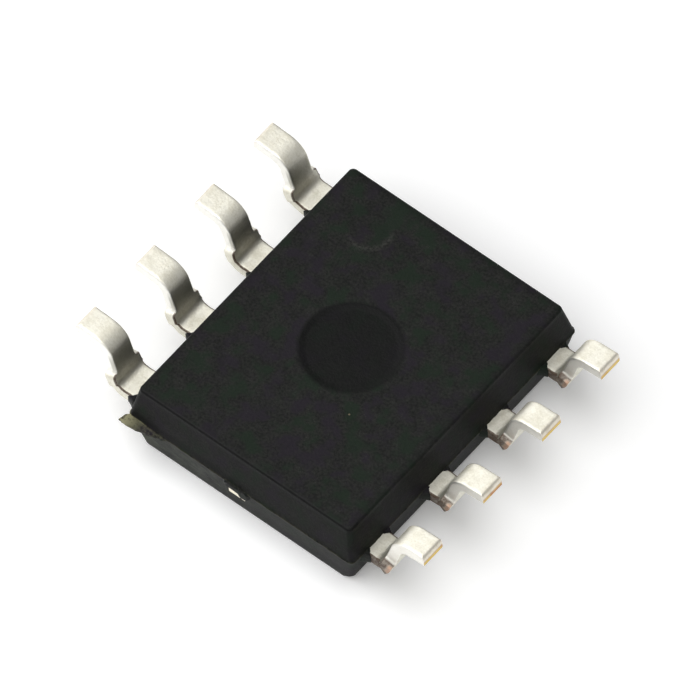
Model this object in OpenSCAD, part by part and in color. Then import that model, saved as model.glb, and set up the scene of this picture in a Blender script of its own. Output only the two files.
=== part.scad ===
// Eight-lead small-outline chip, lying on its marked face with its solder feet up.
// X runs across the two lead rows, Y along the body, and Z up out of the underside.
// The origin is midway between the lead rows, on the marked face, which the part rests on.

/* [Body] */
// Width of the moulding at its parting line, between the lead rows
body_width = 3.94; // [3:0.02:6]
// Distance from the centre of an end lead to the end of the moulding
end_margin = 0.51; // [0.4:0.01:1]
// Thickness of the half of the moulding that carries the marked face
marked_half = 0.75; // [0.6:0.01:1.2]
// Thickness of the half of the moulding that faces the circuit board
under_half = 0.60; // [0.5:0.01:1]
// Draft angle of the four side walls, both ways from the parting line
draft = 11; // [3:0.5:14]
// Radius of the four upright corners of the moulding
corner_r = 0.06; // [0.03:0.01:0.15]
// Bevel where the side walls meet the two large faces
edge_break = 0.03; // [0.01:0.005:0.08]
// How far the moulding sits off the middle of the lead frame, towards the pin 1 row
mould_shift = 0.04; // [0:0.005:0.06]
// Size of the pin 1 side bevel along the marked face
pin_bevel = 0.12; // [0.05:0.01:0.4]

/* [Moulding marks] */
// Diameter of the ejector-pin recess in the underside
ejector_d = 1.45; // [0.8:0.05:2]
// Depth of the ejector-pin recess
ejector_depth = 0.035; // [0.01:0.005:0.1]
// Diameter of the small round mark near one corner of the underside
mark_d = 0.70; // [0.3:0.05:1]
// Depth of the small round mark
mark_depth = 0.012; // [0.005:0.001:0.05]
// Diameter of the pin 1 dimple in the marked face
dimple_d = 0.60; // [0.3:0.05:0.9]
// Depth of the pin 1 dimple
dimple_depth = 0.07; // [0.02:0.01:0.12]

/* [Leads] */
// Distance between neighbouring leads of a row
pitch = 1.27; // [1:0.01:1.8]
// Thickness of the stamped strip
strip = 0.18; // [0.12:0.01:0.25]
// Width of a lead along its foot
foot_width = 0.40; // [0.3:0.01:0.5]
// Width of a lead at its shoulder, beside the moulding
shoulder_width = 0.46; // [0.4:0.01:0.6]
// Width over the stubs that the dam bar leaves when it is cut out
stub_width = 0.61; // [0.5:0.01:0.8]
// Length of the dam-bar stubs along the strip
stub_length = 0.18; // [0.1:0.01:0.22]
// Flat length of the shoulder, from the moulding to the first bend, with the moulding in the middle
shoulder_length = 0.26; // [0.15:0.01:0.5]
// Flat length of the foot, from the second bend to the tip
foot_length = 0.33; // [0.2:0.01:0.6]
// Inside radius of both bends
bend_r = 0.09; // [0.05:0.01:0.15]
// Angle of the rising leg of the lead
leg_angle = 74.5; // [65:0.5:88]
// Angle of the foot, rising towards its tip
foot_angle = 4.6; // [0:0.2:8]
// Height of the foot tips over the underside
standoff = 0.175; // [0.1:0.005:0.25]

/* [Inner leads] */
// Length of a finger inside the moulding
finger_length = 0.72; // [0.5:0.01:0.8]
// Width of the narrow neck of a finger
neck_width = 0.34; // [0.25:0.01:0.45]
// Width of the plated bonding tip of a finger
tip_width = 0.62; // [0.4:0.01:0.7]
// Length of the bonding tip
tip_length = 0.30; // [0.2:0.01:0.35]
// How far the bonding tips of the end leads lean towards the chip
tip_lean = 0.22; // [0:0.01:0.3]
// Diameter of the moulding-lock hole in each shoulder root
lock_d = 0.16; // [0.1:0.01:0.2]

/* [Paddle and chip] */
// Gap between the paddle and the finger tips
paddle_gap = 0.17; // [0.12:0.01:0.3]
// Length of the paddle
paddle_length = 3.00; // [2.4:0.05:3.6]
// How far the paddle is set towards the underside
downset = 0.15; // [0.05:0.01:0.2]
// Width of the two tie bars
tie_width = 0.28; // [0.2:0.01:0.4]
// How far the cut ends of the tie bars stand proud of the moulding
tie_proud = 0.02; // [0.01:0.005:0.05]
// Width of the silicon die
die_width = 1.50; // [1:0.05:1.8]
// Length of the silicon die
die_length = 2.00; // [1.2:0.05:2.4]
// Thickness of the silicon die
die_height = 0.25; // [0.15:0.01:0.3]
// Thickness of the adhesive under the die
glue_height = 0.025; // [0.015:0.005:0.05]
// How far the adhesive squeezes out past the die
glue_spread = 0.04; // [0.02:0.01:0.1]

/* [Bond wires] */
// Diameter of the bond wire
wire_d = 0.03; // [0.02:0.005:0.05]
// Diameter of the ball bond on the die
ball_d = 0.08; // [0.06:0.005:0.12]
// Height of the flattened ball bond
ball_height = 0.018; // [0.01:0.001:0.03]
// Height of the wire loop over the die
loop_height = 0.15; // [0.1:0.01:0.2]
// Distance of the ball bonds from the edge of the die
bond_inset = 0.10; // [0.06:0.01:0.2]

/* [Hidden] */
leads_per_row = 4;
lead_count = 2 * leads_per_row;

body_height = marked_half + under_half;
body_length = (leads_per_row - 1) * pitch + 2 * end_margin;
wall_x = body_width / 2;
wall_y = body_length / 2;
frame_z = marked_half - strip;
seat_z = body_height + standoff;
corner_sides = 24;

// Bent-strip path, measured on the middle of the strip's thickness.
bend_mid = bend_r + strip / 2;
first_bend = bend_mid * [sin(leg_angle), 1 - cos(leg_angle)];
second_bend = bend_mid * [sin(leg_angle) - sin(foot_angle), cos(foot_angle) - cos(leg_angle)];
foot_run = foot_length * [cos(foot_angle), sin(foot_angle)];
foot_rise = seat_z - strip / 2 * cos(foot_angle) - (frame_z + strip / 2);
leg_rise = foot_rise - first_bend[1] - second_bend[1] - foot_run[1];
leg_length = leg_rise / sin(leg_angle);
bend_steps = 8;

finger_x = wall_x - finger_length;
tip_mid_x = finger_x + tip_length / 2;
paddle_width = 2 * (finger_x - paddle_gap);
paddle_z = frame_z + downset;
glue_z = paddle_z - glue_height;
die_z = glue_z - die_height;
wire_rings = 14;
wire_sides = 6;
bond_spread = (die_length - 2 * bond_inset) / (leads_per_row - 1);
past = 1;

// Lead 1 is at the far end of the +X row, and the count runs down that row and back up the other.
function row_side(n) = n <= leads_per_row ? 1 : -1;
function row_place(n) = n <= leads_per_row ? n - 1 : lead_count - n;
function from_middle(n) = (leads_per_row - 1) / 2 - row_place(n);
function lead_y(n) = from_middle(n) * pitch;
function is_end_lead(n) = row_place(n) == 0 || row_place(n) == leads_per_row - 1;
function tip_y(n) = lead_y(n) - (is_end_lead(n) ? sign(from_middle(n)) * tip_lean : 0);

// ---- Moulding ----

module level(z, drop) {
    // A thin plate with round corners: the outline of the moulding where its walls stand in by drop.
    skin = 0.001;
    for (x = [-1, 1], y = [-1, 1])
        translate([x * (wall_x - drop - corner_r), y * (wall_y - drop - corner_r), z])
            cylinder(r = corner_r, h = skin, $fn = corner_sides);
}

module half_block(height) {
    // One mould half, from the parting line at z = 0 up to its large face.
    skin = 0.001;
    rim = height - edge_break;
    hull() {
        level(0, 0);
        level(rim - skin, rim * tan(draft));
        level(height - skin, rim * tan(draft) + edge_break);
    }
}

module block() {
    translate([0, 0, marked_half]) half_block(under_half);
    translate([0, 0, marked_half]) mirror([0, 0, 1]) half_block(marked_half);
}

module pin_side_bevel() {
    face_x = wall_x - marked_half * tan(draft);
    translate([face_x - pin_bevel, -wall_y - past, 0])
        rotate([0, -45, 0]) translate([0, 0, -past]) cube([past, body_length + 2 * past, past]);
}

module face_marks() {
    mark_x = body_width / 4;
    mark_y = body_length / 3;
    translate([0, 0, body_height - ejector_depth]) cylinder(d = ejector_d, h = past, $fn = 96);
    translate([-mark_x, mark_y, body_height - mark_depth]) cylinder(d = mark_d, h = past, $fn = 64);
    translate([mark_x, mark_y, dimple_depth - past]) cylinder(d = dimple_d, h = past, $fn = 64);
}

module mould_body() {
    color([0.14, 0.15, 0.145]) difference() {
        translate([mould_shift, 0, 0]) block();
        translate([mould_shift, 0, 0]) pin_side_bevel();
        translate([mould_shift, 0, 0]) face_marks();
        for (n = [1:lead_count]) lead(n);
        die_paddle();
        die_attach();
        die();
        for (n = [1:lead_count]) bond_wire(n);
    }
}

// ---- Leads ----

// Points of one bend on the strip's middle, with the direction at each: [x, z, angle].
function bend(start, from, to) = [
    for (i = [0:bend_steps])
        let (a = from + (to - from) * i / bend_steps, turn = sign(to - from) * bend_mid)
        [start[0] + turn * (sin(a) - sin(from)), start[1] + turn * (cos(from) - cos(a)), a]
];
function ahead(p, length) = [p[0] + length * cos(p[2]), p[1] + length * sin(p[2]), p[2]];
function last(list) = list[len(list) - 1];

// A strip of the given stations as an outline: out along its upper face and back along its lower face.
function side(p, way) = [p[0] - way * strip / 2 * sin(p[2]), p[1] + way * strip / 2 * cos(p[2])];
function strip_outline(stations) = concat(
    [for (p = stations) side(p, 1)],
    [for (i = [len(stations) - 1:-1:0]) side(stations[i], -1)]
);

shoulder_end = [wall_x + shoulder_length, frame_z + strip / 2, 0];
bend_up = bend(shoulder_end, 0, leg_angle);
stub_end = ahead(last(bend_up), stub_length);
leg_end = ahead(last(bend_up), leg_length);
bend_out = bend(leg_end, leg_angle, foot_angle);
foot_tip = ahead(last(bend_out), foot_length);

module formed(stations, width) {
    // Lays the outline upright along X and gives it its width along Y.
    translate([0, width / 2, 0]) rotate([90, 0, 0]) linear_extrude(width) polygon(strip_outline(stations));
}

module finger_plan(lean) {
    // Seen from above: shoulder root, narrow neck and bonding tip, with the moulding-lock hole.
    root_x = wall_x - lock_d * 1.6;
    difference() {
        union() {
            translate([root_x, -shoulder_width / 2]) square([shoulder_end[0] - root_x, shoulder_width]);
            polygon([
                [root_x, -neck_width / 2],
                [root_x, neck_width / 2],
                [finger_x + tip_length, neck_width / 2 - lean],
                [finger_x + tip_length, tip_width / 2 - lean],
                [finger_x, tip_width / 2 - lean],
                [finger_x, -tip_width / 2 - lean],
                [finger_x + tip_length, -tip_width / 2 - lean],
                [finger_x + tip_length, -neck_width / 2 - lean],
            ]);
        }
        translate([wall_x - lock_d, 0]) circle(d = lock_d, $fn = 32);
    }
}

module lead(n) {
    lean = lead_y(n) - tip_y(n);
    color([0.80, 0.79, 0.75])
    mirror([row_side(n) < 0 ? 1 : 0, 0, 0]) translate([0, lead_y(n), 0]) {
        translate([0, 0, frame_z]) linear_extrude(strip) finger_plan(lean);
        formed(bend_up, shoulder_width);
        formed([last(bend_up), stub_end], stub_width);
        formed(concat([stub_end], bend_out, [foot_tip]), foot_width);
    }
}

// ---- Paddle, adhesive and die ----

module tie_bar() {
    // From the end of the paddle out to the short side of the moulding, stepping back to the lead level.
    step_y = paddle_length / 2 + strip / 2;
    path = [
        [paddle_length / 2 - strip, paddle_z],
        [step_y, paddle_z],
        [step_y + downset, frame_z],
        [wall_y + tie_proud, frame_z],
    ];
    outline = concat(path, [for (i = [len(path) - 1:-1:0]) path[i] + [0, strip]]);
    translate([-tie_width / 2, 0, 0]) rotate([90, 0, 90]) linear_extrude(tie_width) polygon(outline);
}

module die_paddle() {
    color([0.80, 0.45, 0.25]) {
        translate([-paddle_width / 2, -paddle_length / 2, paddle_z])
            cube([paddle_width, paddle_length, strip]);
        tie_bar();
        mirror([0, 1, 0]) tie_bar();
    }
}

module die_attach() {
    w = die_width + 2 * glue_spread;
    l = die_length + 2 * glue_spread;
    color([0.75, 0.75, 0.72]) translate([-w / 2, -l / 2, glue_z]) cube([w, l, glue_height]);
}

module die() {
    color([0.35, 0.36, 0.40]) translate([-die_width / 2, -die_length / 2, die_z])
        cube([die_width, die_length, die_height]);
}

// ---- Bond wires ----

function bond_start(n) = [row_side(n) * (die_width / 2 - bond_inset), from_middle(n) * bond_spread];
function bond_end(n) = [row_side(n) * tip_mid_x, tip_y(n)];
// Height of the loop at u, from 0 at the die to 1 at the finger, and how far along the wire has got there.
function loop_z(u) = die_z + (frame_z - die_z) * pow(u, 1.5) - loop_height * 6.75 * u * pow(1 - u, 2);
function loop_run(u) = pow(u, 1.5);

function wire_ring(run, u) =
    let (
        step = 0.001,
        t = [(loop_run(u + step) - loop_run(max(u - step, 0))) * run, loop_z(u + step) - loop_z(max(u - step, 0))],
        up = [-t[1], t[0]] / norm(t)
    )
    [for (k = [0:wire_sides - 1])
        let (a = 360 * k / wire_sides, r = wire_d / 2)
        [loop_run(u) * run + r * sin(a) * up[0], r * cos(a), loop_z(u) + r * sin(a) * up[1]]];

module wire_loop(run) {
    // A bent tube of flat facets that leaves the die upright and meets the finger at a shallow angle.
    points = [for (i = [0:wire_rings]) each wire_ring(run, i / wire_rings)];
    ring = wire_sides;
    walls = [for (i = [0:wire_rings - 1], k = [0:ring - 1])
        [i * ring + k, i * ring + (k + 1) % ring, (i + 1) * ring + (k + 1) % ring, (i + 1) * ring + k]];
    start_cap = [for (k = [ring - 1:-1:0]) k];
    end_cap = [for (k = [0:ring - 1]) wire_rings * ring + k];
    polyhedron(points, concat([start_cap], walls, [end_cap]));
}

module bond_wire(n) {
    a = bond_start(n);
    b = bond_end(n);
    way = b - a;
    color([0.85, 0.65, 0.25]) translate([a[0], a[1], 0]) rotate([0, 0, atan2(way[1], way[0])]) {
        translate([0, 0, die_z - ball_height]) cylinder(d = ball_d, h = ball_height, $fn = 12);
        difference() {
            wire_loop(norm(way));
            translate([-past, -past, die_z - ball_height / 2]) cube([past + ball_d / 2, 2 * past, past]);
            translate([ball_d / 2, -past, frame_z]) cube([2 * past, 2 * past, past]);
        }
    }
}

mould_body();
die_paddle();
die_attach();
die();
for (n = [1:lead_count]) lead(n);
for (n = [1:lead_count]) bond_wire(n);
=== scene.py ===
"""Looks of a small-outline chip that lies on its marked face with its solder feet up."""

import logging
import math
from dataclasses import dataclass, field
from enum import Enum
from typing import Any, Sequence

import bpy
import numpy as np
from mathutils import Matrix, Vector, noise
from mathutils.geometry import delaunay_2d_cdt


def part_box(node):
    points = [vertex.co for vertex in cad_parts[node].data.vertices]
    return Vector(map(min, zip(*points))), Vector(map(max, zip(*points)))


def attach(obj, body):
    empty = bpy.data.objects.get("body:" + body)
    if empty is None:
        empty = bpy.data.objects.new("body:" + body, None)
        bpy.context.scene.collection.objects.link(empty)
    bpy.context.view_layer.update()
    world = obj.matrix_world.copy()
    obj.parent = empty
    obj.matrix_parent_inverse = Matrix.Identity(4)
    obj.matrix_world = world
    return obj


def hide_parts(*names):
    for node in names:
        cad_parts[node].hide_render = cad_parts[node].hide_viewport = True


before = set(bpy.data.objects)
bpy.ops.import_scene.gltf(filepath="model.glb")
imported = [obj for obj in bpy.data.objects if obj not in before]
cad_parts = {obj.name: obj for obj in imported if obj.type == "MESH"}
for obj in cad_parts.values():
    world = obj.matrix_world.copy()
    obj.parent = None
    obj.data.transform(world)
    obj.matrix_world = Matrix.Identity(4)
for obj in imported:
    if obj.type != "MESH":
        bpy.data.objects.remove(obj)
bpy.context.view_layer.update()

LOG = logging.getLogger("chip")
MM = 0.001
PARTING_NODE = "lead_1"
PER_ROW = 4
PITCH = 1.27
NUMBERS = range(1, 2 * PER_ROW + 1)
WHITE = (1.0, 1.0, 1.0)

Colour = tuple[float, float, float]
Point2 = tuple[float, float]
Point3 = tuple[float, float, float]
Corner = tuple[float, float, float, float]
Station = tuple[float, float, float, float]


# ---- Shader maths ----


class Channel:
    """One output of a node, with the arithmetic of a material's values."""

    def __init__(self, graph: "Graph", port: bpy.types.NodeSocket) -> None:
        """Wraps a node's output."""
        self.graph = graph
        self.port = port

    def _math(self, operation: str, *values: "Channel | float") -> "Channel":
        """The output of a new Math node."""
        return self.graph.add("ShaderNodeMath", dict(enumerate(values)), operation=operation)

    def __add__(self, other: "Channel | float") -> "Channel":
        """This value plus another."""
        return self._math("ADD", self, other)

    def __sub__(self, other: "Channel | float") -> "Channel":
        """This value less another."""
        return self._math("SUBTRACT", self, other)

    def __rsub__(self, other: "Channel | float") -> "Channel":
        """Another value less this one."""
        return self._math("SUBTRACT", other, self)

    def __mul__(self, other: "Channel | float") -> "Channel":
        """This value times another."""
        return self._math("MULTIPLY", self, other)

    __radd__ = __add__
    __rmul__ = __mul__

    def held(self) -> "Channel":
        """This value kept between 0 and 1."""
        return self.graph.add("ShaderNodeClamp", {"Value": self, "Min": 0.0, "Max": 1.0})

    def over(self, low: float, high: float) -> "Channel":
        """A soft step that is 0 below low and 1 above high."""
        sockets = {"Value": self, "From Min": low, "From Max": high}
        return self.graph.add("ShaderNodeMapRange", sockets, interpolation_type="SMOOTHSTEP")


class Graph:
    """A material's or the world's node tree, built by one method."""

    def __init__(self, owner: "bpy.types.Material | bpy.types.World") -> None:
        """Empties the owner's node tree.

        Args:
            owner: The material or world whose nodes are built.
        """
        owner.use_nodes = True
        self.tree = owner.node_tree
        self.tree.nodes.clear()

    def add(
        self, kind: str, sockets: dict[Any, Any], output: int | str = 0, **settings: Any
    ) -> Channel:
        """Adds a node of any type.

        Args:
            kind: The node's type.
            sockets: Values or links of its inputs, by name or number.
            output: Which output to return.
            settings: Its own settings, set before its sockets; "stops" fills a ramp.

        Returns:
            The chosen output.
        """
        node = self.tree.nodes.new(kind)
        for name, value in settings.items():
            if name == "stops":
                self._fill_ramp(node.color_ramp, value)
            else:
                setattr(node, name, value)
        for name, value in sockets.items():
            port = node.inputs[name]
            if isinstance(value, Channel):
                self.tree.links.new(value.port, port)
            elif isinstance(value, tuple) and port.type == "RGBA":
                port.default_value = (*value, 1.0)
            else:
                port.default_value = value
        ports = node.outputs
        return Channel(self, ports[output] if len(ports) else None)

    @staticmethod
    def _fill_ramp(ramp: bpy.types.ColorRamp, stops: Sequence[tuple[float, Colour]]) -> None:
        """Gives a colour ramp its stops.

        Args:
            ramp: The ramp to fill.
            stops: Place and colour of each stop, in order.
        """
        while len(ramp.elements) > 1:
            ramp.elements.remove(ramp.elements[-1])
        (start, first), *others = stops
        ramp.elements[0].position = start
        ramp.elements[0].color = (*first, 1.0)
        for place, colour in others:
            ramp.elements.new(place).color = (*colour, 1.0)

    def blend(self, share: Channel, first: Channel | Colour, second: Channel | Colour) -> Channel:
        """The first colour where the share is 0, and the second where it is 1."""
        return self.add("ShaderNodeMix", {0: share, 6: first, 7: second}, 2, data_type="RGBA")

    def place(self, stretch: Point3 = (1.0, 1.0, 1.0)) -> Channel:
        """Where a point lies, in millimetres, stretched for a grain that runs one way."""
        sockets = {0: self.add("ShaderNodeTexCoord", {}, "Object"), 1: tuple(s / MM for s in stretch)}
        return self.add("ShaderNodeVectorMath", sockets, operation="MULTIPLY")

    def cloud(self, where: Channel, scale: float, detail: float, rough: float) -> Channel:
        """A soft noise from 0 to 1, with the waves per millimetre given as its scale."""
        sockets = {"Vector": where, "Scale": scale, "Detail": detail, "Roughness": rough}
        return self.add("ShaderNodeTexNoise", sockets)

    def cells(self, where: Channel, scale: float) -> Channel:
        """Distance in cells to the nearest of scattered points."""
        return self.add("ShaderNodeTexVoronoi", {"Vector": where, "Scale": scale})

    def painted(self, name: str) -> Channel:
        """A value stored at the mesh's vertices."""
        return self.add("ShaderNodeAttribute", {}, "Fac", attribute_name=name)

    def relief(self, height: Channel, depth_mm: float, strength: float) -> Channel:
        """A normal bumped by a relief whose height runs from 0 to 1."""
        sockets = {"Strength": strength, "Distance": depth_mm * MM, "Height": height}
        return self.add("ShaderNodeBump", sockets)

    def surface(
        self, base: Channel, metallic: Channel | float, rough: Channel, normal: Channel, **more: float
    ) -> None:
        """Ends the tree in a Principled shader.

        Args:
            base: Its colour.
            metallic: How far it is a metal.
            rough: Its roughness.
            normal: Its normal.
            more: Other inputs.
        """
        sockets = {"Base Color": base, "Metallic": metallic, "Roughness": rough, "Normal": normal}
        shader = self.add("ShaderNodeBsdfPrincipled", {**sockets, **more})
        self.add("ShaderNodeOutputMaterial", {"Surface": shader})


# ---- Finishes ----


@dataclass(frozen=True)
class Finish:
    """A material made of nodes."""

    name: str

    def shade(self, graph: Graph) -> None:
        """Builds the nodes; each finish has its own."""
        raise NotImplementedError

    def material(self) -> bpy.types.Material:
        """The Blender material, made once."""
        known = bpy.data.materials.get(self.name)
        if known is not None:
            return known
        made = bpy.data.materials.new(self.name)
        self.shade(Graph(made))
        return made


@dataclass(frozen=True)
class MouldedEpoxy(Finish):
    """Black moulding compound: fine filler grain, satin skin, smooth in the pin's sunk mark, with
    painted reflection, highlights and shade.
    """

    name: str = "moulded_epoxy"
    dark: Colour = (0.0036, 0.0042, 0.0036)
    light: Colour = (0.0178, 0.0184, 0.0166)
    green: Colour = (0.0070, 0.0150, 0.0080)
    violet: Colour = (0.0130, 0.0096, 0.0160)
    # painted reflection: colour that the lower walls are lightened towards, standing in for the white
    # floor they mirror
    lower: Colour = (0.072, 0.080, 0.064)
    # painted highlight: pale colour where the parting flash and gate remnant catch the light
    flash_highlight: Colour = (0.36, 0.345, 0.20)
    # painted shade: dark colour for the sunk marks, the walls, the near top edge and the band above the
    # flash
    recess_shade_tint: Colour = (0.0022, 0.0024, 0.0023)
    # painted highlight on one side of the small mark's edge
    rim_highlight: Colour = (0.042, 0.042, 0.038)
    filler_tint: Colour = (0.05, 0.05, 0.047)
    speck_tint: Colour = (0.16, 0.13, 0.09)
    ior: float = 1.35
    gloss: float = 0.19
    grain_depth: float = 0.012

    def shade(self, graph: Graph) -> None:
        """Builds the compound's grain, tint, skin and its painted light and shade."""
        where = graph.place()
        grain = graph.cloud(where, 26.0, 3.0, 0.6)
        patch = graph.cloud(where, 5.0, 3.0, 0.6)
        tint = graph.cloud(where, 3.2, 2.0, 0.55)
        filler = 1.0 - graph.cells(where, 30.0).over(0.12, 0.30)
        recess, flash, low_half, wall, rim = (
            graph.painted(name) for name in ("recess", "flash", "low_half", "wall", "rim")
        )
        speck = 1.0 - graph.cells(where, 1.5).over(0.014, 0.030)
        tone = (grain * 0.9 + patch * 0.35 - 0.125).over(0.28, 0.72)
        base = graph.blend(tone, self.dark, self.light)
        base = graph.blend(tint.over(0.50, 0.68) * 0.75, base, self.green)
        base = graph.blend((1.0 - tint).over(0.50, 0.68) * 0.7, base, self.violet)
        base = graph.blend(filler * patch.over(0.5, 0.7) * 0.35, base, self.filler_tint)
        # painted reflection of the white floor on the lower walls, mottled
        base = graph.blend(low_half * patch.over(0.26, 0.80), base, self.lower)
        # painted shade: sunk marks, walls, a band above the parting flash and the near top edge darker,
        # plus a painted shadow on the ejector mark's far side
        base = graph.blend((recess * 0.9 - rim * 0.8).held(), base, self.recess_shade_tint)
        # painted highlight on one side of the small mark's edge
        base = graph.blend(rim.held() * (0.1 + grain.over(0.35, 0.62) * 0.7), base, self.rim_highlight)
        base = graph.blend(speck * 0.8, base, self.speck_tint)
        mottle = (patch * 0.5 + grain * 0.5).over(0.36, 0.56)
        # painted highlight on the parting flash and the gate remnant
        base = graph.blend(flash * mottle, base, self.flash_highlight)
        rough = 0.40 + grain * 0.16 + patch * 0.06 - recess * (1.0 - wall) * 0.16 + wall * 0.08
        height = grain * 0.6 + filler * 0.15 + patch * 0.35
        normal = graph.relief(height, self.grain_depth, 0.55)
        graph.surface(base, 0.0, rough, normal, **{"IOR": self.ior, "Specular IOR Level": self.gloss})


@dataclass(frozen=True)
class MattTin(Finish):
    """Matt tin plate over stamped copper, bare and tarnished where the strip was cut; painted shade on
    edges and legs.
    """

    name: str = "matt_tin"
    bright: Colour = (0.78, 0.76, 0.67)
    dull_tone_and_leg_shade: Colour = (0.58, 0.55, 0.445)
    copper: Colour = (0.44, 0.20, 0.10)
    brass: Colour = (0.66, 0.50, 0.15)
    # dark brown of the painted shade on the shoulders' edges, also tarnished copper at the dam-bar cuts
    shade_and_tarnish_tint: Colour = (0.085, 0.055, 0.036)
    sheared: Colour = (0.97, 0.96, 0.92)
    # painted shade on the far row's legs
    leg_shade_tint: Colour = (0.19, 0.185, 0.135)
    grain_depth: float = 0.010

    def shade(self, graph: Graph) -> None:
        """Builds the plate, its rub marks, the bare cut ends and the painted shade."""
        where = graph.place()
        grain = graph.cloud(where, 32.0, 3.0, 0.65)
        smear = graph.cloud(graph.place((4.0, 1.0, 4.0)), 4.0, 3.0, 0.6)
        blotch = graph.cloud(where, 6.5, 3.0, 0.6)
        bare, browned, burnish = (graph.painted(name) for name in ("bare", "browned", "burnish"))
        worn = (blotch * 0.6 + grain * 0.4).over(0.40, 0.64)
        plate = graph.blend(worn * 0.55, self.bright, self.dull_tone_and_leg_shade)
        plate = graph.blend(burnish, plate, self.sheared)
        # painted shade: a darker band along the far row's legs
        plate = graph.blend(graph.painted("dulled"), plate, self.leg_shade_tint)
        cut = graph.blend(smear.over(0.34, 0.52) * bare.over(0.72, 0.86), self.copper, self.brass)
        mottle = (blotch * 0.5 + grain * 0.5).over(0.34, 0.58)
        # painted shade on the shoulders' rounded edges and near-row sides, with tarnished copper at the
        # dam-bar cuts
        shade_and_tarnish_share = browned * (0.78 + mottle * 0.22)
        base = graph.blend(bare, plate, cut)
        base = graph.blend(shade_and_tarnish_share, base, self.shade_and_tarnish_tint)
        rough = 0.40 + worn * 0.10 + grain * 0.08 + shade_and_tarnish_share * 0.15
        height = grain * 0.55 + smear * 0.25 + blotch * 0.35
        graph.surface(base, 1.0 - shade_and_tarnish_share * 0.9, rough, graph.relief(height, self.grain_depth, 0.6))


@dataclass(frozen=True)
class StampedCopper(Finish):
    """Rolled and stamped copper of the paddle, pale at its cut ends."""

    name: str = "stamped_copper"
    copper: Colour = (0.78, 0.42, 0.25)
    tarnished: Colour = (0.55, 0.25, 0.13)
    pale: Colour = (0.93, 0.88, 0.72)
    end_from: float = 2.30
    end_full: float = 2.40

    def shade(self, graph: Graph) -> None:
        """Builds the rolled grain and the pale cut ends."""
        where = graph.place()
        rolled = graph.cloud(graph.place((9.0, 1.2, 9.0)), 6.0, 3.0, 0.6)
        blotch = graph.cloud(where, 7.0, 2.0, 0.5)
        along = graph.add("ShaderNodeSeparateXYZ", {0: where}, "Y")
        far = graph.add("ShaderNodeMath", {0: along}, operation="ABSOLUTE")
        cut_end = far.over(self.end_from, self.end_full)
        base = graph.blend(blotch.over(0.35, 0.65) * 0.4, self.copper, self.tarnished)
        base = graph.blend(cut_end * (0.75 + blotch * 0.5).held(), base, self.pale)
        metallic, rough = 1.0 - cut_end * 0.35, 0.32 + rolled * 0.2
        graph.surface(base, metallic, rough, graph.relief(rolled, 0.006, 0.5))


@dataclass(frozen=True)
class CuredAdhesive(Finish):
    """Silver-filled adhesive under the die."""

    name: str = "cured_adhesive"
    paste: Colour = (0.55, 0.55, 0.52)
    silver: Colour = (0.82, 0.82, 0.80)

    def shade(self, graph: Graph) -> None:
        """Builds the flakes in the paste."""
        where = graph.place()
        flake = 1.0 - graph.cells(where, 40.0).over(0.15, 0.4)
        lump = graph.cloud(where, 12.0, 3.0, 0.6)
        base = graph.blend(flake, self.paste, self.silver)
        graph.surface(base, flake * 0.8, 0.4 + lump * 0.3, graph.relief(lump, 0.01, 0.6))


@dataclass(frozen=True)
class PolishedSilicon(Finish):
    """Die: a polished grey plate with sawn sides."""

    name: str = "polished_silicon"
    face: Colour = (0.16, 0.17, 0.20)
    hazed: Colour = (0.20, 0.19, 0.24)

    def shade(self, graph: Graph) -> None:
        """Builds the faint haze of the polished face."""
        where = graph.place()
        haze = graph.cloud(where, 4.0, 2.0, 0.5)
        saw = graph.cloud(graph.place((1.0, 1.0, 30.0)), 8.0, 2.0, 0.5)
        base = graph.blend(haze.over(0.35, 0.65), self.face, self.hazed)
        graph.surface(base, 0.5, 0.12 + saw * 0.12, graph.relief(saw, 0.002, 0.4))


@dataclass(frozen=True)
class DrawnGold(Finish):
    """Bond wire: drawn gold."""

    name: str = "drawn_gold"
    gold: Colour = (0.95, 0.68, 0.25)
    streaked: Colour = (0.86, 0.57, 0.18)

    def shade(self, graph: Graph) -> None:
        """Builds the drawn streaks."""
        streak = graph.cloud(graph.place((2.0, 20.0, 20.0)), 8.0, 2.0, 0.5)
        base = graph.blend(streak.over(0.35, 0.65), self.gold, self.streaked)
        graph.surface(base, 1.0, 0.18 + streak * 0.16, graph.relief(streak, 0.002, 0.4))


@dataclass(frozen=True)
class PaleFloor(Finish):
    """Plain white card that keeps the shadow."""

    name: str = "pale_floor"
    card: Colour = (0.97, 0.97, 0.97)
    lift: float = 0.14
    mirrored_lift: float = 0.15

    def shade(self, graph: Graph) -> None:
        """Builds the card, a little lifted where it is looked at or mirrored."""
        where = graph.place()
        fibre = graph.cloud(where, 0.8, 2.0, 0.5)
        base = graph.blend(fibre, self.card, tuple(c * 0.995 for c in self.card))
        seen = graph.add("ShaderNodeLightPath", {}, "Is Camera Ray")
        mirrored = graph.add("ShaderNodeLightPath", {}, "Is Glossy Ray")
        strength = seen * self.lift + mirrored * self.mirrored_lift
        card = graph.add("ShaderNodeBsdfDiffuse", {"Color": base})
        glow = graph.add("ShaderNodeEmission", {"Color": WHITE, "Strength": strength})
        both = graph.add("ShaderNodeAddShader", {0: card, 1: glow})
        graph.add("ShaderNodeOutputMaterial", {"Surface": both})


# ---- Meshes ----


def placed(name: str, data: bpy.types.ID) -> bpy.types.Object:
    """Makes an object and puts it in the scene.

    Args:
        name: The object's name.
        data: Its mesh, lamp or camera.

    Returns:
        The object.
    """
    made = bpy.data.objects.new(name, data)
    bpy.context.scene.collection.objects.link(made)
    return made


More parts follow.
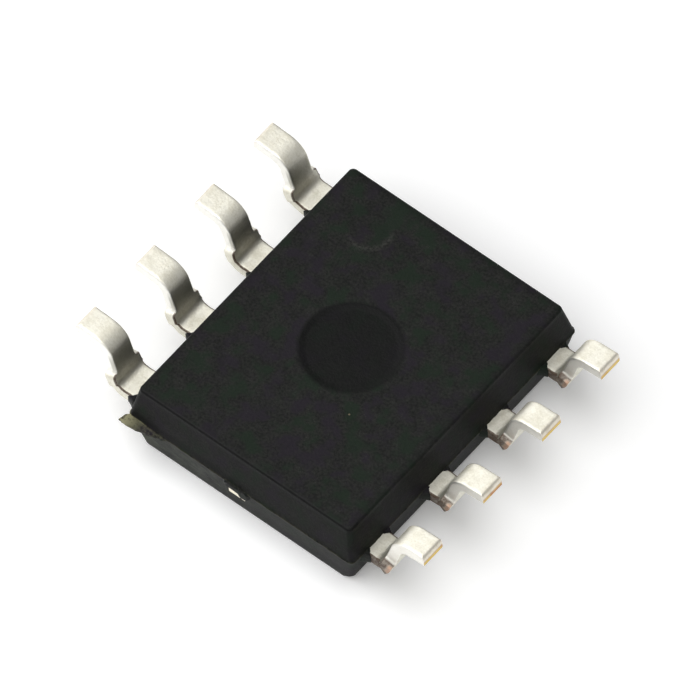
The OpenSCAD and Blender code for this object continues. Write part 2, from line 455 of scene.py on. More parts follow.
@dataclass
class MeshStore:
    """Points, faces and painted values of one piece while it is built, in millimetres."""

    points: list[np.ndarray] = field(default_factory=list)
    faces: list[tuple[int, ...]] = field(default_factory=list)
    paint: dict[str, list[float]] = field(default_factory=dict)
    count: int = 0

    def add(self, rows: np.ndarray, **values: "np.ndarray | float") -> int:
        """Adds points.

        Args:
            rows: Points, one a row.
            values: Painted value of each point, by attribute.

        Returns:
            The number of the first new point.
        """
        first = self.count
        for name in values.keys() - self.paint.keys():
            self.paint[name] = [0.0] * first
        self.points.append(np.asarray(rows, float))
        self.count += len(rows)
        for name, kept in self.paint.items():
            kept.extend(np.broadcast_to(values.get(name, 0.0), len(rows)).tolist())
        return first

    def shift(self, way: Point3) -> None:
        """Moves every point that has been added so far."""
        self.points = [rows + np.array(way) for rows in self.points]

    def strip(self, low: int, high: int, size: int, closed: bool = True) -> None:
        """Joins two rows of the same size with quads.

        Args:
            low: First point of the lower row.
            high: First point of the upper row.
            size: Points in each row.
            closed: Whether the rows are rings.
        """
        for i in range(size if closed else size - 1):
            j = (i + 1) % size
            self.faces.append((low + i, low + j, high + j, high + i))

    def build(self, name: str, finish: Finish, sharp: float, flip: bool = False) -> bpy.types.Object:
        """Makes the Blender object.

        Args:
            name: The piece's name.
            finish: Its material.
            sharp: Angle in degrees above which an edge stays sharp.
            flip: Whether the faces are turned over.

        Returns:
            The object.
        """
        rows = np.concatenate(self.points) * MM
        faces = [f[::-1] for f in self.faces] if flip else self.faces
        mesh = bpy.data.meshes.new(name)
        mesh.from_pydata(rows.tolist(), [], faces)
        for key, values in self.paint.items():
            layer = mesh.attributes.new(key, "FLOAT", "POINT")
            layer.data.foreach_set("value", np.asarray(values, np.float32))
        mesh.materials.append(finish.material())
        mesh.polygons.foreach_set("use_smooth", [True] * len(mesh.polygons))
        mesh.set_sharp_from_angle(angle=math.radians(sharp))
        mesh.update()
        return placed(name, mesh)


def wave(x: float, y: float, z: float, seed: float) -> float:
    """A smooth noise from -1 to 1 at a point; the seed picks one of many."""
    return noise.noise(Vector((x + seed * 7.31, y - seed * 3.77, z + seed * 1.93)))


# ---- Lead sizes ----


class Row(Enum):
    """The two lead rows, by the way their feet point."""

    PIN_ONE_SIDE = 1
    FAR_SIDE = -1


@dataclass(frozen=True)
class LeadForm:
    """Stamped and bent strip of one lead, in millimetres."""

    strip: float = 0.18
    inside: float = 0.10
    shoulder: float = 0.214
    bend_r: float = 0.15
    leg_deg: float = 74.5
    foot_deg: float = 4.6
    foot: float = 0.289
    shoulder_width: float = 0.46
    stub_width: float = 0.61
    stub_length: float = 0.18
    stub_back: float = 0.14
    stub_taper: float = 0.010
    stub_uneven: float = 0.012
    lead_in: float = 0.050
    lead_out: float = 0.075
    foot_width: float = 0.40
    roll_r: float = 0.030
    tip_r: float = 0.050
    uneven: float = 0.006
    across_steps: int = 12
    corner_steps: int = 3
    thick_steps: int = 4
    section_step: float = 0.0165

    def stretches(self, strip_z: float, seat_z: float) -> list[tuple[float, float]]:
        """Length and turn in degrees of each stretch of the bent strip.

        Args:
            strip_z: Underside of the flat strip.
            seat_z: Height that the foot tips reach.

        Returns:
            The stretches from inside the moulding to the tip.
        """
        mid = self.bend_r + self.strip / 2
        leg, foot = math.radians(self.leg_deg), math.radians(self.foot_deg)
        rise = seat_z - self.strip / 2 * math.cos(foot) - strip_z - self.strip / 2
        rise -= mid * (1 - math.cos(leg))
        rise -= mid * (math.cos(foot) - math.cos(leg))
        rise -= self.foot * math.sin(foot)
        return [
            (self.inside + self.shoulder, 0.0),
            (mid * leg, self.leg_deg),
            (rise / math.sin(leg), 0.0),
            (mid * (leg - foot), self.foot_deg - self.leg_deg),
            (self.foot, 0.0),
        ]

    def lines(self, steps: int) -> list[float]:
        """Grid lines over one side of the section: within 1 flat, from 1 to 2 round a corner.

        Args:
            steps: Steps along the flat part.

        Returns:
            The lines from -2 to 2.
        """
        corner = [k / self.corner_steps for k in range(self.corner_steps + 1)]
        flat = [-1 + 2 * k / steps for k in range(steps + 1)]
        return [c - 2 for c in corner[:-1]] + flat + [1 + c for c in corner[1:]]


FORMS: dict[Row, LeadForm] = {
    Row.PIN_ONE_SIDE: LeadForm(),
    Row.FAR_SIDE: LeadForm(shoulder_width=0.53, stub_width=0.57, stub_back=0.10, foot=0.335),
}


def lead_place(number: int) -> tuple[Row, float]:
    """Row of a lead, and Y of its middle.

    Args:
        number: The lead's number.

    Returns:
        The row and the place in millimetres.
    """
    first_row = number <= PER_ROW
    order = number - 1 if first_row else 2 * PER_ROW - number
    row = Row.PIN_ONE_SIDE if first_row else Row.FAR_SIDE
    return row, ((PER_ROW - 1) / 2 - order) * PITCH


# ---- Moulding ----


def held(value: float) -> float:
    """A value kept between 0 and 1."""
    return min(1.0, max(0.0, value))


def eased(value: float) -> float:
    """A soft step that is 0 below 0 and 1 above 1."""
    step = held(value)
    return step * step * (3 - 2 * step)


@dataclass(frozen=True)
class RoundMark:
    """A round sunk mark in one of the large faces, in millimetres."""

    x: float
    y: float
    diameter: float
    depth: float
    painted: float
    # Above 0 paints a highlight on one side of the edge, below 0 a shadow on the other side.
    rim_tone: float = 0.0
    wall: float = 0.11
    # How far past the mark's edge the painted shade reaches.
    halo: float = 0.05
    rim_inset: float = 0.03
    rim_width: float = 0.055
    lit_side_way: Point2 = (0.63, -0.77)

    def away(self, x: float, y: float) -> float:
        """Distance of a point from the mark's middle."""
        return math.hypot(x - self.x, y - self.y)

    def drop(self, x: float, y: float) -> float:
        """How far the face is sunk at a point."""
        return self.depth * eased((self.diameter / 2 - self.away(x, y)) / self.wall)

    def shade(self, x: float, y: float) -> float:
        """How much smoother the skin is at a point; the same value paints it darker as shade, to just
        past the edge.
        """
        inside = self.diameter / 2 + self.halo - self.away(x, y)
        return self.painted * eased(inside / (0.7 * self.wall))

    def rim(self, x: float, y: float) -> float:
        """Painted highlight, above 0, and painted shadow, below 0, on one side of the mark's edge.

        Args:
            x: X of the point.
            y: Y of the point.

        Returns:
            The painted light there.
        """
        away = self.away(x, y)
        ring = max(0.0, 1.0 - abs(away - self.diameter / 2 + self.rim_inset) / self.rim_width)
        turned = self.lit_side_way[0] * (x - self.x) + self.lit_side_way[1] * (y - self.y)
        facing = math.copysign(1.0, self.rim_tone) * turned / max(away, 1e-6)
        return self.rim_tone * ring * held(1.6 * facing)

    def rings(self) -> list[list[Point2]]:
        """Circles that the face's triangles follow around the mark.

        Returns:
            The circles from the outside in.
        """
        sides = max(32, int(self.diameter * 90))
        turn = [2 * math.pi * k / sides for k in range(sides)]
        steps = (0.4, 0.0, -0.2, -0.4, -0.6, -0.8, -1.0, -1.5)
        radii = [self.diameter / 2 + self.wall * k for k in steps]
        return [
            [(self.x + r * math.cos(a), self.y + r * math.sin(a)) for a in turn]
            for r in radii
            if r > 0
        ]


@dataclass
class Moulding:
    """The black body: two drafted halves, parting flash, pin 1 bevel and mould marks.

    The underside has the ejector's mark and a small one, the marked face the pin 1 dimple.
    The resin scraps are outlines seen from above, anticlockwise. A corner of the gate remnant or
    of the tie bar's cover is X, Y, lower Z and upper Z; a corner of a web is the distance out of
    the wall and the distance past the lead's edge.
    """

    draft_deg: float = 11.0
    corner_r: float = 0.075
    edge_r: float = 0.042
    pin_bevel: float = 0.12
    side_step: float = 0.035
    corner_steps: int = 8
    face_pitch: float = 0.085
    face_margin: float = 0.06
    rim_clearance: float = 0.075
    push_from: float = 0.96
    fine_rough: float = 0.0022
    broad_rough: float = 0.0030
    flash_out: float = 0.010
    flash_below: float = 0.036
    flash_above: float = 0.030
    gate_reach: Point2 = (0.25, 0.30)
    # The next four sizes shape the painted floor reflection on the lower walls and the painted shade on
    # the near wall.
    front_depth: float = 0.30
    west_from: float = 0.30
    west_reach: float = 0.90
    lower_reach: float = 0.12
    # Height and half height of the painted shadow band above the parting flash.
    flash_shadow_rise: float = 0.085
    flash_shadow_half: float = 0.075
    web_extra: float = 0.95
    scrap_cuts: int = 5
    scrap_rough: float = 0.006
    fade_reach: float = 0.36
    store: MeshStore = field(default_factory=MeshStore)
    # The ejector mark has a painted shadow on its far side, the small mark a painted highlight on its
    # near side.
    ejector: RoundMark = RoundMark(0.0, 0.0, 1.45, 0.009, 0.85, -0.9)
    small_mark: RoundMark = RoundMark(-1.02, 1.655, 0.70, 0.004, 0.10, 0.9)
    dimple: RoundMark = RoundMark(0.985, 1.61, 0.60, 0.070, 0.6, wall=0.12)
    gate: tuple[Corner, ...] = (
        (-0.045, -0.140, -0.035, 0.008), (0.08, -0.146, -0.055, 0.004),
        (0.24, -0.118, -0.075, -0.008), (0.42, -0.070, -0.085, -0.012),
        (0.60, -0.025, -0.085, -0.010), (0.72, 0.040, -0.080, -0.006),
        (0.05, 0.050, -0.120, 0.020), (-0.020, -0.020, -0.090, 0.016),
    )
    tie_cover: tuple[Corner, ...] = (
        (-0.26, 0.010, -0.080, 0.012), (-0.20, -0.034, -0.075, 0.010),
        (-0.06, -0.038, -0.078, 0.010), (0.04, -0.036, -0.085, 0.010),
        (0.10, -0.034, -0.150, 0.008), (0.18, -0.030, -0.150, 0.008),
        (0.21, 0.010, -0.120, 0.010),
    )
    web: tuple[Point2, ...] = (
        (-0.03, -0.11), (0.020, -0.10), (0.055, -0.055), (0.085, -0.012),
        (0.110, 0.008), (0.07, 0.026), (0.03, 0.045), (-0.03, 0.085),
    )

    def __post_init__(self) -> None:
        """Reads the body's size from its CAD node."""
        low, high = (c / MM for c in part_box("mould_body"))
        self.mid_x = (low.x + high.x) / 2
        self.half_x = (high.x - low.x) / 2
        self.half_y, self.height = high.y, high.z
        self.strip = FORMS[Row.PIN_ONE_SIDE].strip
        self.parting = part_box(PARTING_NODE)[0].z / MM + self.strip
        self.slope = math.tan(math.radians(self.draft_deg))

    def _outline(self, inset: float, bevel_x: float) -> list[Point2]:
        """One level's outline, anticlockwise, always with the same number of points.

        Args:
            inset: How far the walls stand in from the parting line.
            bevel_x: Furthest X that the bevel leaves.

        Returns:
            The points.
        """
        r = self.corner_r
        x0, x1 = -self.half_x + inset, min(self.half_x - inset, bevel_x)
        y0, y1 = -self.half_y + inset, self.half_y - inset
        counts = [round(2 * half / self.side_step) for half in (self.half_y, self.half_x)]
        corners = [
            (x1 - r, y0 + r, -90.0),
            (x1 - r, y1 - r, 0.0),
            (x0 + r, y1 - r, 90.0),
            (x0 + r, y0 + r, 180.0),
        ]
        points: list[Point2] = []
        for index, (cx, cy, start) in enumerate(corners):
            for k in range(self.corner_steps + 1):
                a = math.radians(start + 90.0 * k / self.corner_steps)
                points.append((cx + r * math.cos(a), cy + r * math.sin(a)))
            nx, ny, turn = corners[(index + 1) % 4]
            a = math.radians(turn)
            begin, end = points[-1], (nx + r * math.cos(a), ny + r * math.sin(a))
            steps = counts[index % 2]
            for u in (k / steps for k in range(1, steps)):
                points.append(tuple(p + (q - p) * u for p, q in zip(begin, end)))
        return points

    def _levels(self) -> list[tuple[float, float, float]]:
        """Height, inset and share of flash of each ring.

        Returns:
            The rings from the marked face up.
        """
        r, top_rim = self.edge_r, self.height - self.edge_r
        quarter = [math.radians(a) for a in range(0, 91, 18)]
        low_wall, high_wall = (abs(z - self.parting) * self.slope for z in (r, top_rim))
        rows = [(r * (1 - math.cos(a)), low_wall + r * (1 - math.sin(a)), 0.0) for a in quarter]
        flash = [(-0.020, 0.35), (-0.012, 0.85), (-0.004, 1.0), (0.004, 1.0), (0.011, 0.7)]
        flash += [(0.018, 0.22), (self.flash_above, 0.0)]
        levels = [(z, 0.0) for z in np.linspace(r, self.parting - self.flash_below, 11)[1:]]
        levels += [(self.parting + dz, share) for dz, share in flash]
        levels += [(z, 0.0) for z in np.linspace(self.parting + self.flash_above, top_rim, 9)[1:]]
        rows += [(z, abs(z - self.parting) * self.slope, share) for z, share in levels]
        for a in quarter[1:]:
            rows.append((top_rim + r * math.sin(a), high_wall + r * (1 - math.cos(a)), 0.0))
        return rows

    def _flash(self, x: float, y: float) -> float:
        """How far the parting flash stands out at a place on the outline."""
        ragged = wave(x * 9, y * 9, 0, 3) * 0.5 + wave(x * 31, y * 31, 0, 4) * 0.5
        return max(0.0, self.flash_out * (1.0 + ragged))

    def _outward(self, x: float, y: float) -> Vector:
        """The way in which a wall's point is pushed out.

        Args:
            x: X of the point on the outline.
            y: Y of the point.

        Returns:
            The way, shorter where the outline has turned off from both walls.
        """
        place = Vector((x / self.half_x, y / self.half_y))
        start = self.push_from
        way = Vector([math.copysign(max(0.0, abs(p) - start) / (1 - start), p) for p in place])
        return way.normalized() if way.length > 1 else way

    def _wall_paint(
        self, plan: list[Point2], rows: np.ndarray, share: float
    ) -> dict[str, np.ndarray]:
        """Painted values of one ring of the walls.

        Args:
            plan: The ring's points on the smooth outline.
            rows: The ring's points, pushed out.
            share: Its share of the parting flash.

        Returns:
            Values by attribute.
        """
        away = (np.array(plan) + (self.half_x, self.half_y)) / self.gate_reach
        gate = np.exp(-(away**2).sum(1))
        x, y, z = rows[:, 0], rows[:, 1], float(rows[0, 2])
        front = y < -self.half_y + self.front_depth
        west = np.clip((self.west_from - x) / self.west_reach, 0.0, 1.0)
        below = held((self.parting - z) / self.lower_reach) if z > 0.0 else 0.0
        # painted shadow: a dark band just above the parting flash
        flash_shadow = max(0.0, 1.0 - abs(z - self.parting - self.flash_shadow_rise) / self.flash_shadow_half)
        top_rim = self.height - self.edge_r
        # painted shade: a dark line along the top edge of the near wall
        turned = float(top_rim - 0.01 < z < self.height - 0.004)
        # painted highlight: pale parting flash, strongest at the gate corner
        flash = share * (0.07 + 1.3 * gate) + 0.15 * gate * (z < self.parting)
        return {
            "flash": np.minimum(1.0, flash),
            # painted reflection of the floor: faint on every lower wall, strongest on the near wall
            # towards -X
            "low_half": below * (x < self.half_x - 0.25) * (0.12 + front * (0.10 + 0.78 * west)),
            # painted shade: every wall a little darker, more in the band above the flash towards -X and
            # along the near top edge
            "recess": 0.35 + 0.6 * np.maximum(flash_shadow * west, turned) * front,
            "wall": np.full(len(rows), float(self.edge_r < z < top_rim)),
        }

    def _walls(self) -> tuple[list[int], list[int]]:
        """Builds the rings of the side walls.

        Returns:
            The points of the lowest ring and of the highest ring.
        """
        bevel_start = self.half_x - self.parting * self.slope - self.pin_bevel
        starts: list[int] = []
        size = 0
        for z, inset, share in self._levels():
            plan = self._outline(inset, bevel_start + z)
            rows = []
            for x, y in plan:
                way = self._outward(x, y)
                push = self._flash(x, y) * share
                push += self.fine_rough * wave(x * 14, y * 14, z * 14, 1)
                push += self.broad_rough * wave(x * 3, y * 3, z * 3, 2)
                rows.append((x + way.x * push, y + way.y * push, z))
            ring = np.array(rows)
            starts.append(self.store.add(ring, **self._wall_paint(plan, ring, share)))
            size = len(ring)
        for low, high in zip(starts, starts[1:]):
            self.store.strip(low, high, size)
        return tuple(list(range(s, s + size)) for s in (starts[0], starts[-1]))

    def _filling(self, edge: list[Point2], marks: Sequence[RoundMark]) -> list[Point2]:
        """Spreads points over a face, clear of its edge and of the rims of its marks.

        Args:
            edge: The face's outline.
            marks: Recesses in the face.

        Returns:
            The points.
        """
        (low_x, low_y), (high_x, high_y) = np.min(edge, 0), np.max(edge, 0)
        pitch, gap, clear = self.face_pitch, self.face_margin, self.rim_clearance
        points = []
        for i, x in enumerate(np.arange(low_x + gap, high_x - 0.05, pitch)):
            for y in np.arange(low_y + gap + (i % 2) * pitch / 2, high_y - 0.05, pitch):
                if all(abs(m.away(x, y) - m.diameter / 2) > clear for m in marks):
                    points.append((float(x), float(y)))
        return points

    def _face(self, ring: list[int], marks: Sequence[RoundMark], up: bool) -> None:
        """Closes a ring with a face that carries round marks.

        Args:
            ring: The points of the ring.
            marks: Recesses in this face.
            up: Whether the face looks up.
        """
        store, rows = self.store, np.concatenate(self.store.points)
        edge = [(float(rows[i][0]), float(rows[i][1])) for i in ring]
        points: list[Point2] = list(edge)
        edges = [(i, (i + 1) % len(edge)) for i in range(len(edge))]
        for circle in (c for mark in marks for c in mark.rings()):
            first, size = len(points), len(circle)
            points.extend(circle)
            edges.extend((first + k, first + (k + 1) % size) for k in range(size))
        points.extend(self._filling(edge, marks))
        flat, _, triangles, origin, _, _ = delaunay_2d_cdt(
            [Vector(p) for p in points], edges, [list(range(len(edge)))], 1, 1e-7
        )
        level, way = (self.height, -1.0) if up else (0.0, 1.0)
        number: dict[int, int] = {}
        fresh, recess, rim = [], [], []
        for index, p in enumerate(flat):
            known = [o for o in origin[index] if o < len(edge)]
            if known:
                number[index] = ring[known[0]]
                continue
            swell = 0.0016 * wave(p.x * 1.6, p.y * 1.6, level, 5)
            swell += 0.0007 * wave(p.x * 6, p.y * 6, level, 6)
            sunk = sum(m.drop(p.x, p.y) for m in marks) + abs(swell)
            number[index] = store.count + len(fresh)
            fresh.append((p.x, p.y, level + way * sunk))
            # painted shade over the sunk marks, and painted light on one side of their edges
            recess.append(sum(m.shade(p.x, p.y) for m in marks))
            rim.append(sum(m.rim(p.x, p.y) for m in marks))
        store.add(np.array(fresh), recess=np.array(recess), rim=np.array(rim))
        for tri in triangles:
            corners = tuple(number[i] for i in tri)
            a, b, c = (Vector(flat[i]) for i in tri)
            turned = (b - a).cross(c - a) < 0
            store.faces.append(corners[::-1] if turned == up else corners)

    def _scrap(self, plan: Sequence[Corner], flash: float) -> None:
        """Adds a small closed piece of resin with an uneven skin.

        Args:
            plan: Corners seen from above, anticlockwise: X, Y, lower Z and upper Z.
            flash: How much of the painted flash highlight it shows at its -X end.
        """
        store, rows, cuts = self.store, [], self.scrap_cuts
        size = cuts * len(plan)
        cx, cy = (sum(c[k] for c in plan) / len(plan) for k in (0, 1))
        for level, shrink in ((0.0, 0.80), (0.18, 1.0), (0.82, 1.0), (1.0, 0.80)):
            for start, end in zip(plan, [*plan[1:], plan[0]]):
                for k in range(cuts):
                    x, y, low, high = (p + (q - p) * k / cuts for p, q in zip(start, end))
                    push = self.scrap_rough * wave(x * 40, y * 40, level, 8)
                    x, y = cx + (x - cx) * shrink + push, cy + (y - cy) * shrink + push
                    rows.append((x, y, low + (high - low) * level + 0.4 * push))
        skin = np.array(rows)
        spread = np.vstack([skin, skin[:size].mean(0), skin[-size:].mean(0)])
        # the painted highlight fades away from the -X end
        fade = np.clip(1.0 - (spread[:, 0] - spread[:, 0].min()) / self.fade_reach, 0.15, 1.0)
        first = store.add(spread, flash=flash * fade)
        for j in range(3):
            store.strip(first + j * size, first + (j + 1) * size, size)
        under, top = first + 4 * size, first + 4 * size + 1
        for i in range(size):
            j = (i + 1) % size
            store.faces.append((first + j, first + i, under))
            store.faces.append((first + 3 * size + i, first + 3 * size + j, top))

    def _scraps(self) -> None:
        """Adds the gate remnant, the tie bar's cover and the webs beside the leads."""
        y, z = -self.half_y, self.parting
        for plan, x, flash in ((self.gate, -self.half_x, 0.85), (self.tie_cover, -self.mid_x, 0.0)):
            self._scrap([(x + a, y + b, z + c, z + d) for a, b, c, d in plan], flash)
        low, high = z - self.strip - 0.006, z + 0.010
        for number in NUMBERS:
            row, middle = lead_place(number)
            side, half = row.value, FORMS[row].shoulder_width / 2
            for way in (1, -1):
                grow = 0.85 + 0.3 * wave(number * 2.1, way * 3.3, 0, 9)
                grow += self.web_extra if (side, way) == (-1, -1) else 0.0
                plan = [
                    (side * (self.half_x + a * grow), middle + way * (half + b * grow), low, high)
                    for a, b in self.web
                ]
                self._scrap(plan if side * way > 0 else plan[::-1], 0.0)

    def build(self) -> bpy.types.Object:
        """Makes the body's mesh in place of its CAD node.

        Returns:
            The piece.
        """
        lowest, highest = self._walls()
        self._face(highest, [self.ejector, self.small_mark], True)
        self._face(lowest, [self.dimple], False)
        self._scraps()
        self.store.shift((self.mid_x, 0.0, 0.0))
        piece = self.store.build("moulded_body", MouldedEpoxy(), 38.0)
        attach(piece, "root")
        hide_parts("mould_body")
        return piece


# ---- Leads ----


@dataclass
class Lead:
    """One gull-wing lead outside the moulding, in millimetres."""

    number: int
    wall_x: float = 1.97
    # How far past the stub the painted shade on the shoulders' edges runs.
    shade_past: float = 0.03
    cut_from: float = 0.05
    cut_past: float = 0.02
    # Half length of the painted shade along a far-row leg.
    leg_shade_half: float = 0.20
    store: MeshStore = field(default_factory=MeshStore)

    def __post_init__(self) -> None:
        """Reads the lead's place from its CAD node and lays out its middle line."""
        low, high = (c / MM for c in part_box(f"lead_{self.number}"))
        self.row, self.middle = lead_place(self.number)
        self.form = FORMS[self.row]
        stretches = self.form.stretches(low.z, high.z)
        self.ends = np.cumsum([length for length, _ in stretches])
        self.stub_start = self.ends[1] - self.form.stub_back
        self.stub_end = self.stub_start + self.form.stub_length
        self.stations = self._stations(stretches, low.z)

    def _stations(self, stretches: list[tuple[float, float]], strip_z: float) -> list[Station]:
        """Distance, X, Z and direction of each section along the strip's middle.

        Args:
            stretches: Length and turn of each stretch.
            strip_z: Underside of the flat strip.

        Returns:
            The sections, closer together at the tip.
        """
        form = self.form
        x, z, a, s = self.wall_x - form.inside, strip_z + form.strip / 2, 0.0, 0.0
        rows = [(s, x, z, a)]
        for length, turn_deg in stretches:
            steps = max(3, round(length / form.section_step))
            turn = math.radians(turn_deg)
            for _ in range(steps):
                middle = a + turn / steps / 2
                x += length / steps * math.cos(middle)
                z += length / steps * math.sin(middle)
                a += turn / steps
                s += length / steps
                rows.append((s, x, z, a))
        fine: list[Station] = []
        for first, second in zip(rows, rows[1:]):
            pieces = 3 if second[0] > rows[-1][0] - form.tip_r else 1
            for k in range(pieces):
                fine.append(tuple(p + (q - p) * k / pieces for p, q in zip(first, second)))
        return [*fine, rows[-1]]

    def _half_width(self, s: float, side: int) -> float:
        """Half width of the strip on one side.

        Args:
            s: Distance along the strip.
            side: 1 towards +Y and -1 towards -Y.

        Returns:
            The half width.
        """
        form, past = self.form, s - self.stub_end
        uneven = form.uneven * wave(s * 11, side * 5.0, 0, self.number)
        shoulder, foot = form.shoulder_width / 2, form.foot_width / 2
        stub = form.stub_width / 2 + form.stub_uneven * wave(0, side * 3.0, 0, self.number + 20)
        narrow = stub - form.stub_taper
        if s < self.stub_start:
            u = held((s - self.stub_start) / form.lead_in + 1.0)
            return shoulder + (stub - shoulder) * u * u + uneven
        if past < 0:
            return narrow - form.stub_taper * past / form.stub_length + uneven
        u = min(1.0, past / form.lead_out)
        width = narrow + (foot - narrow) * (1 - (1 - u) ** 2.4)
        return width + uneven * (0.4 if past > form.lead_out else 1.0)

    def _rounded(self, u: float, v: float, left: float, right: float) -> Point2:
        """Place in the rounded section of one grid node.

        Args:
            u: Across, -2 to 2, with the corners beyond 1.
            v: Through, -2 to 2, with the corners beyond 1.
            left: Half width towards -Y.
            right: Half width towards +Y.

        Returns:
            Offsets across and through the strip.
        """
        r = self.form.roll_r if v > 0 else self.form.roll_r * 0.35
        mid_w, mid_t = (right if u > 0 else left) - r, self.form.strip / 2 - r
        w = math.copysign(mid_w * min(1.0, abs(u)), u)
        t = math.copysign(mid_t * min(1.0, abs(v)), v)
        a, b = max(0.0, abs(u) - 1), max(0.0, abs(v) - 1)
        if a > 0 and b > 0:
            shrink = max(a, b) / math.hypot(a, b)
            a, b = a * shrink, b * shrink
        return w + math.copysign(a * r, u), t + math.copysign(b * r, v)

    def _laid(self, station: Station, grid: Sequence[Point2]) -> np.ndarray:
        """Lays grid places of one section in the row frame.

        Args:
            station: Distance, X, Z and direction of the section.
            grid: Places across and through the strip.

        Returns:
            The points.
        """
        form, (s, x, z, a) = self.form, station
        left, right = self._half_width(s, -1), self._half_width(s, 1)
        short = max(0.0, form.tip_r - (self.stations[-1][0] - s))
        top = form.strip / 2 - form.tip_r + math.sqrt(form.tip_r**2 - short**2)
        rows = []
        for u, v in grid:
            w, t = self._rounded(u, v, left, right)
            t = min(t, top)
            px, pz = x - t * math.sin(a), z + t * math.cos(a)
            bump = 0.0012 * wave(px * 12, w * 12, pz * 12, self.number)
            rows.append((self.row.value * (px + bump), self.middle + w, pz + bump))
        return np.array(rows)

    def _paint(self, s: float, ring: Sequence[Point2]) -> dict[str, np.ndarray]:
        """Painted values of one section.

        Args:
            s: Distance along the strip.
            ring: Places of the section's points across and through the strip.

        Returns:
            Values by attribute.
        """
        near = self.row is Row.PIN_ONE_SIDE
        u, v = np.abs(ring)[:, 0], np.array(ring)[:, 1]
        edge = u == 2.0
        tip = max(0.0, 1.0 - (self.stations[-1][0] - s) / 0.07)
        bare = 0.12 * tip * (v > 0)
        # painted shade: rounded top edges of the shoulders and the near row's shoulder sides; tarnished
        # copper at the dam-bar cuts below
        shade_and_tarnish_mask = ((u > 1.0) & (v > 1.0)) | (edge & near)
        shade_and_tarnish_mask = shade_and_tarnish_mask * float(s < self.stub_end + self.shade_past)
        if near and self.stub_start + self.cut_from < s < self.stub_end + self.cut_past:
            cut = edge & (v < -0.4)
            bare[cut], shade_and_tarnish_mask[cut] = 0.7, 0.28
        # painted shade: a darker band along the middle of each far-row leg
        leg = (self.stub_end + self.ends[2]) / 2 + 0.02
        dull_tone_and_leg_shade = 0.0 if near else 0.55 * max(0.0, 1.0 - ((s - leg) / self.leg_shade_half) ** 2)
        burnish = held((s - self.stub_end) / 0.06) * (0.6 if near else 0.9)
        return {"bare": bare, "browned": shade_and_tarnish_mask, "burnish": burnish * edge, "dulled": dull_tone_and_leg_shade * (v > 0)}

    def _close_tip(self, last: int, ring: list[Point2]) -> None:
        """Closes the sheared tip with a grid that carries the bare copper line.

        Args:
            last: First point of the last section.
            ring: Places of the section's points across and through the strip.
        """
        across, through = (sorted({place[k] for place in ring}) for k in (0, 1))
        number = {place: last + i for i, place in enumerate(ring)}
        inner = [(u, v) for v in through[1:-1] for u in across[1:-1]]
        bare = np.array([1.0 if v < -0.4 else 0.05 for _, v in inner])
        first = self.store.add(self._laid(self.stations[-1], inner), bare=bare)
        number.update({place: first + i for i, place in enumerate(inner)})
        for v0, v1 in zip(through, through[1:]):
            for u0, u1 in zip(across, across[1:]):
                corners = ((u0, v0), (u1, v0), (u1, v1), (u0, v1))
                self.store.faces.append(tuple(number[c] for c in corners))

    def build(self) -> bpy.types.Object:
        """Makes the lead's mesh in place of its CAD node.

        Returns:
            The piece.
        """
        form, store = self.form, self.store
        across, through = form.lines(form.across_steps), form.lines(form.thick_steps)
        ring = [(u, -2.0) for u in across[:-1]] + [(2.0, v) for v in through[:-1]]
        ring += [(u, 2.0) for u in across[:0:-1]] + [(-2.0, v) for v in through[:0:-1]]
        starts = []
        for station in self.stations:
            paint = self._paint(station[0], ring)
            starts.append(store.add(self._laid(station, ring), **paint))
        for low, high in zip(starts, starts[1:]):
            store.strip(low, high, len(ring))
        self._close_tip(starts[-1], ring)
        flip = self.row is Row.FAR_SIDE
        piece = store.build(f"lead_{self.number}_formed", MattTin(), 48.0, flip=flip)
        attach(piece, "root")
        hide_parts(f"lead_{self.number}")
        return piece


# ---- Inside parts that keep their CAD shape ----


@dataclass
class InnerParts:
    """Paddle, adhesive, die and bond wires: CAD nodes with finishes of their own."""

    finishes: dict[str, Finish] = field(
        default_factory=lambda: {
            "die_paddle": StampedCopper(),
            "die_attach": CuredAdhesive(),
            "die": PolishedSilicon(),
            **{f"bond_wire_{n}": DrawnGold() for n in NUMBERS},
        }
    )

    def dress(self) -> list[str]:
        """Gives each CAD node its finish.

        Returns:
            The names of the nodes.
        """
        for node, finish in self.finishes.items():
            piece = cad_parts[node]
            piece.data.materials.clear()
            piece.data.materials.append(finish.material())
        return list(self.finishes)


# ---- Studio ----


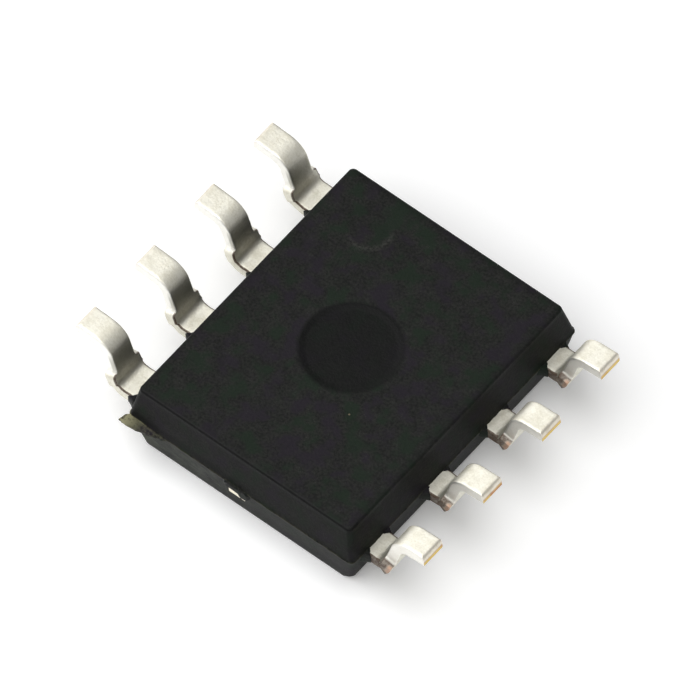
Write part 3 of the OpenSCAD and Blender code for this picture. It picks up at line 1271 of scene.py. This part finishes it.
@dataclass
class Studio:
    """Floor, soft light, surroundings and camera, in millimetres."""

    floor_half: float = 400.0
    floor_z: float = -0.001
    floor_steps: int = 8
    right: Point3 = (0.774, 0.632, -0.026)
    up: Point3 = (-0.520, 0.660, 0.541)
    aim: Point3 = (0.049, -0.035, 1.35)
    distance: float = 360.0
    frame_width: float = 9.511
    sensor: float = 36.0
    box_way: Point3 = (-0.15, -0.32, 1.0)
    box_distance: float = 60.0
    box_half_deg: float = 38.0
    box_share: float = 0.80
    around: float = 0.22
    room_peak: float = 1.4
    room: tuple[Point2, ...] = (
        (0.05, 0.30), (0.17, 0.36), (0.37, 0.32), (0.61, 0.11), (0.68, 0.14), (0.75, 0.72), (0.90, 1.0),
    )

    def floor(self) -> None:
        """Lays the card just under the chip."""
        store, size = MeshStore(), self.floor_steps + 1
        line = np.linspace(-self.floor_half, self.floor_half, size)
        store.add(np.array([(x, y, self.floor_z) for y in line for x in line]))
        for j in range(self.floor_steps):
            store.strip(j * size, (j + 1) * size, size, closed=False)
        card = store.build("floor_card", PaleFloor(), 30.0)

    def light(self) -> None:
        """Hangs the soft box."""
        way = Vector(self.box_way).normalized()
        d = self.box_distance * MM
        lamp = bpy.data.lights.new("soft_box", "AREA")
        lamp.shape = "DISK"
        half = math.radians(self.box_half_deg)
        lamp.size = 2 * d * math.tan(half)
        lamp.energy = math.pi**2 * d * d * self.box_share / (way.z * math.cos(half) ** 2)
        holder = placed("soft_box", lamp)
        holder.location = way * d
        holder.rotation_mode = "QUATERNION"
        holder.rotation_quaternion = way.to_track_quat("Z", "Y")

    def surroundings(self) -> None:
        """White for the camera, and a soft room for what is lit."""
        world = bpy.data.worlds.new("studio_room")
        bpy.context.scene.world = world
        graph = Graph(world)
        way = graph.add("ShaderNodeTexCoord", {}, "Generated")
        seen = graph.add("ShaderNodeLightPath", {}, "Is Camera Ray")
        mirrored = graph.add("ShaderNodeLightPath", {}, "Is Glossy Ray")
        sockets = {0: way, 1: (-0.5, 0.0, 0.0)}
        toward = graph.add("ShaderNodeVectorMath", sockets, "Value", operation="DOT_PRODUCT")
        stops = [(t, (v, v, v)) for t, v in self.room]
        bright = graph.add("ShaderNodeValToRGB", {"Fac": toward + 0.5}, stops=stops)
        room = self.around * (1.0 - mirrored) + mirrored * bright * self.room_peak
        strength = seen + (1.0 - seen) * room
        glow = graph.add("ShaderNodeBackground", {"Color": WHITE, "Strength": strength})
        graph.add("ShaderNodeOutputWorld", {"Surface": glow})

    def camera(self) -> None:
        """Sets the camera."""
        data = bpy.data.cameras.new("camera")
        data.sensor_width = self.sensor
        data.lens = self.sensor * self.distance / self.frame_width
        data.clip_start, data.clip_end = 0.01, 2.0
        eye = placed("camera", data)
        right = Vector(self.right).normalized()
        back = right.cross(Vector(self.up)).normalized()
        up = back.cross(right)
        turn = Matrix((right, up, back)).transposed().to_4x4()
        place = (Vector(self.aim) + back * self.distance) * MM
        eye.matrix_world = Matrix.Translation(place) @ turn
        bpy.context.scene.camera = eye

    def build(self) -> None:
        """Builds the whole studio."""
        bpy.context.scene.view_settings.view_transform = "Standard"
        self.floor()
        self.light()
        self.surroundings()
        self.camera()


def main() -> None:
    """Builds every piece in order and reports it."""
    logging.basicConfig(level=logging.INFO, format="%(message)s")
    body = Moulding().build()
    LOG.info("%s: %d faces", body.name, len(body.data.polygons))
    for number in NUMBERS:
        piece = Lead(number).build()
        LOG.info("%s: %d faces", piece.name, len(piece.data.polygons))
    LOG.info("dressed: %s", ", ".join(InnerParts().dress()))
    Studio().build()
    LOG.info("studio ready")


if __name__ == "__main__":
    main()
